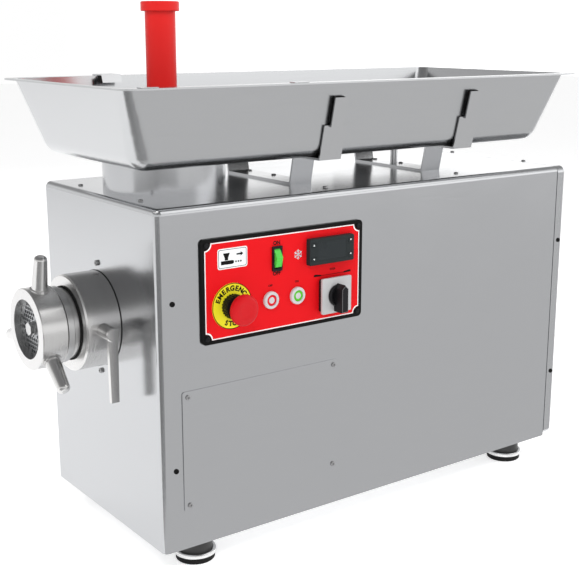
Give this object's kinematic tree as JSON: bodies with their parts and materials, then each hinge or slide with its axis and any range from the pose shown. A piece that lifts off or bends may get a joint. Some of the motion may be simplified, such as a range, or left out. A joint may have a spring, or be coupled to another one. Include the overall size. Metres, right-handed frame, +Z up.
{
  "type": "electric meat grinder",
  "caption": "Refrigerated bench meat grinder: steel cabinet on feet, grinding head with ring nut, feed tray on brackets, plunger, red control panel.",
  "frame": {"origin": "centre of the object's bounding box in plan, at floor level", "axes": "+X from the grinding head towards the rear cover, +Y from the control side to the far side, +Z up"},
  "size_m": [0.844, 0.3662, 0.713],
  "materials": {
    "cabinet_steel": "polished with a fine brushed grain",
    "tray_steel": "satin",
    "bracket_steel": "satin",
    "head_steel": "turned",
    "cast_steel": "bead blasted",
    "blade_steel": "ground",
    "screw_dark": "blackened",
    "foot_steel": "turned",
    "foot_hub": "moulded",
    "foot_rubber": "matt",
    "frame_paint": "semi-matt",
    "panel_black": "fine texture",
    "overlay_red": "printed film",
    "label_yellow": "printed",
    "black_plastic": "moulded",
    "stop_red": "moulded",
    "ring_red": "moulded",
    "ring_green": "moulded",
    "cap_light": "moulded",
    "rocker_green": "moulded",
    "thermostat_grey": "moulded",
    "display_black": "glossy pane",
    "key_black": "moulded",
    "switch_plate": "satin",
    "plunger_red": "moulded",
    "coil_copper": "drawn tube",
    "bearing_steel": "ground",
    "gearbox_cast": "cast",
    "gear_steel": "hobbed",
    "motor_paint": "semi-gloss",
    "fan_plastic": "moulded",
    "compressor_black": "gloss",
    "condenser_fins": "bright",
    "box_grey": "powder coat",
    "gland_grey": "moulded"
  },
  "bodies": {
    "cabinet": {"cabinet": "cabinet_steel", "rear_cover": "cabinet_steel", "base_pan": "cabinet_steel", "access_panel": "cabinet_steel", "base_frame": "frame_paint", "casing_screws": "screw_dark", "foot_pads": "foot_rubber", "foot_cups": "foot_steel", "foot_hubs": "foot_hub", "panel_frame": "panel_black", "panel_overlay": "overlay_red", "panel_screws": "black_plastic", "estop_label": "label_yellow", "estop_collar": "black_plastic", "off_bezel": "cap_light", "on_bezel": "cap_light", "rocker_bezel": "black_plastic", "thermostat_case": "thermostat_grey", "thermostat_display": "display_black", "cam_switch_body": "black_plastic", "cam_switch_plate": "switch_plate", "tray_bracket_1": "bracket_steel", "tray_bracket_2": "bracket_steel", "tray_post": "bracket_steel", "feed_neck": "cabinet_steel", "throat_tube": "tray_steel", "cooling_coil": "coil_copper", "barrel": "cast_steel", "head_collar": "head_steel", "head_bolts": "screw_dark", "shaft_bearings": "bearing_steel", "gearbox_housing": "gearbox_cast", "motor": "motor_paint", "compressor": "compressor_black", "condenser": "condenser_fins", "fan_motor": "motor_paint", "electrical_box": "box_grey", "cable_gland": "gland_grey"},
    "grinding_plate": {"grinding_plate": "blade_steel"},
    "ring_nut": {"ring_nut": "head_steel", "ring_handles": "head_steel"},
    "auger": {"auger": "cast_steel", "knife": "blade_steel", "output_shaft": "gear_steel"},
    "motor_rotor": {"pinion_shaft": "gear_steel", "motor_fan": "fan_plastic"},
    "condenser_fan": {"condenser_fan": "fan_plastic"},
    "clamp_lever": {"clamp_lever": "head_steel"},
    "estop_stem": {"estop_stem": "black_plastic"},
    "estop_head": {"estop_head": "stop_red"},
    "off_button": {"off_button": "ring_red"},
    "on_button": {"on_button": "ring_green"},
    "rocker": {"rocker": "rocker_green"},
    "cam_switch_handle": {"cam_switch_handle": "black_plastic"},
    "thermostat_key_1": {"thermostat_key_1": "key_black"},
    "thermostat_key_2": {"thermostat_key_2": "key_black"},
    "thermostat_key_3": {"thermostat_key_3": "key_black"},
    "thermostat_key_4": {"thermostat_key_4": "key_black"},
    "plunger": {"plunger": "plunger_red"},
    "tray": {"tray": "tray_steel"}
  },
  "joints": [
    {"name": "plate_slide", "type": "slide", "parent": "cabinet", "child": "grinding_plate", "axis": [-1, 0, 0], "range_m": [0, 0.012]},
    {"name": "ring_turn", "type": "hinge", "parent": "grinding_plate", "child": "ring_nut", "pos_m": [-0.406, 0.01085, 0.309], "axis": [-1, 0, 0], "range_deg": [0, 1080]},
    {"name": "auger_spin", "type": "hinge", "parent": "cabinet", "child": "auger", "pos_m": [-0.32, 0.01085, 0.309], "axis": [1, 0, 0], "continuous": true},
    {"name": "motor_spin", "type": "hinge", "parent": "cabinet", "child": "motor_rotor", "pos_m": [-0.105, 0.01085, 0.201], "axis": [1, 0, 0], "continuous": true},
    {"name": "condenser_fan_spin", "type": "hinge", "parent": "cabinet", "child": "condenser_fan", "pos_m": [0.306, 0.07485, 0.182], "axis": [1, 0, 0], "continuous": true},
    {"name": "clamp_lever_turn", "type": "hinge", "parent": "cabinet", "child": "clamp_lever", "pos_m": [-0.345, -0.06715, 0.309], "axis": [0, 1, 0], "range_deg": [0, 35]},
    {"name": "estop_push", "type": "slide", "parent": "cabinet", "child": "estop_stem", "axis": [0, 1, 0], "range_m": [0, 0.005]},
    {"name": "estop_twist", "type": "hinge", "parent": "estop_stem", "child": "estop_head", "pos_m": [-0.2165, -0.17315, 0.342], "axis": [0, 1, 0], "range_deg": [0, 45]},
    {"name": "off_push", "type": "slide", "parent": "cabinet", "child": "off_button", "axis": [0, 1, 0], "range_m": [0, 0.003], "stiffness_N_per_m": 400},
    {"name": "on_push", "type": "slide", "parent": "cabinet", "child": "on_button", "axis": [0, 1, 0], "range_m": [0, 0.003], "stiffness_N_per_m": 400},
    {"name": "rocker_tilt", "type": "hinge", "parent": "cabinet", "child": "rocker", "pos_m": [-0.1479, -0.14615, 0.394], "axis": [1, 0, 0], "range_deg": [0, 18]},
    {"name": "cam_switch_turn", "type": "hinge", "parent": "cabinet", "child": "cam_switch_handle", "pos_m": [-0.0573, -0.16715, 0.335], "axis": [0, 1, 0], "range_deg": [-60, 60]},
    {"name": "thermostat_key_1_push", "type": "slide", "parent": "cabinet", "child": "thermostat_key_1", "axis": [0, 1, 0], "range_m": [0, 0.0005], "stiffness_N_per_m": 300},
    {"name": "thermostat_key_2_push", "type": "slide", "parent": "cabinet", "child": "thermostat_key_2", "axis": [0, 1, 0], "range_m": [0, 0.0005], "stiffness_N_per_m": 300},
    {"name": "thermostat_key_3_push", "type": "slide", "parent": "cabinet", "child": "thermostat_key_3", "axis": [0, 1, 0], "range_m": [0, 0.0005], "stiffness_N_per_m": 300},
    {"name": "thermostat_key_4_push", "type": "slide", "parent": "cabinet", "child": "thermostat_key_4", "axis": [0, 1, 0], "range_m": [0, 0.0005], "stiffness_N_per_m": 300},
    {"name": "plunger_lift", "type": "slide", "parent": "cabinet", "child": "plunger", "axis": [0, 0, 1], "range_m": [0, 0.16]},
    {"name": "tray_lift", "type": "slide", "parent": "cabinet", "child": "tray", "axis": [0, 0, 1], "range_m": [0, 0.06]}
  ],
  "couplings": [
    {"joint": "plate_slide", "follows": "ring_turn", "m_per_rad": 0.0006366},
    {"joint": "motor_spin", "follows": "auger_spin", "ratio": -5}
  ]
}
